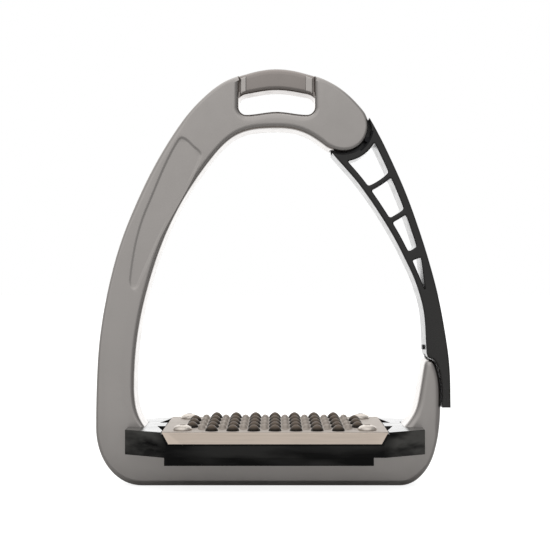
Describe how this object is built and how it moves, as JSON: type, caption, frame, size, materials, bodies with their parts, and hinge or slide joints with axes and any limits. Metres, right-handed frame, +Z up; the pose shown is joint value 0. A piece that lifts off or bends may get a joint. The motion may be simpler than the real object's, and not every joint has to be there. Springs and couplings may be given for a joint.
{
  "type": "safety stirrup iron",
  "caption": "Safety stirrup iron: open aluminium frame with a leather slot, a hinged black outer arm that swings open to free the foot, and a wide studded tread.",
  "frame": {"origin": "under the middle of the tread, on the surface that the base stands on", "axes": "+X towards the release arm on the rider's outer side, +Y from front to back through the opening, +Z up to the leather bar"},
  "size_m": [0.1494, 0.06, 0.176],
  "materials": {
    "satin_aluminium": "satin, fine bead-blasted, clear anodised",
    "arm_polymer": "matt black moulded polymer",
    "ground_steel": "ground",
    "plug_steel": "satin",
    "bush_bronze": "sintered",
    "washer_polymer": "smooth",
    "spring_steel": "blackened",
    "rivet_steel": "satin",
    "buffer_rubber": "matt",
    "tray_polymer": "gloss black",
    "strip_rubber": "matt",
    "screw_steel": "satin",
    "stud_rubber": "matt",
    "plate_steel": "satin stainless sheet",
    "insert_brass": "turned"
  },
  "bodies": {
    "stirrup": {"frame": "satin_aluminium", "hinge_pin": "ground_steel", "hinge_plug": "plug_steel", "thrust_washer_front": "washer_polymer", "thrust_washer_rear": "washer_polymer", "footbed_tray": "tray_polymer", "damper_strip": "strip_rubber", "base_screws": "screw_steel", "stud_pad": "stud_rubber", "grip_plate": "plate_steel", "plate_screws": "screw_steel", "plate_inserts": "insert_brass"},
    "arm": {"release_arm": "arm_polymer", "hinge_bush": "bush_bronze", "detent_spring": "spring_steel", "detent_rivets": "rivet_steel", "arm_buffer": "buffer_rubber"}
  },
  "joints": [
    {"name": "arm_release", "type": "hinge", "parent": "stirrup", "child": "arm", "pos_m": [0.0286, 0, 0.1515], "axis": [0, -1, 0], "range_deg": [0, 38], "deforming": ["detent_spring"]}
  ]
}
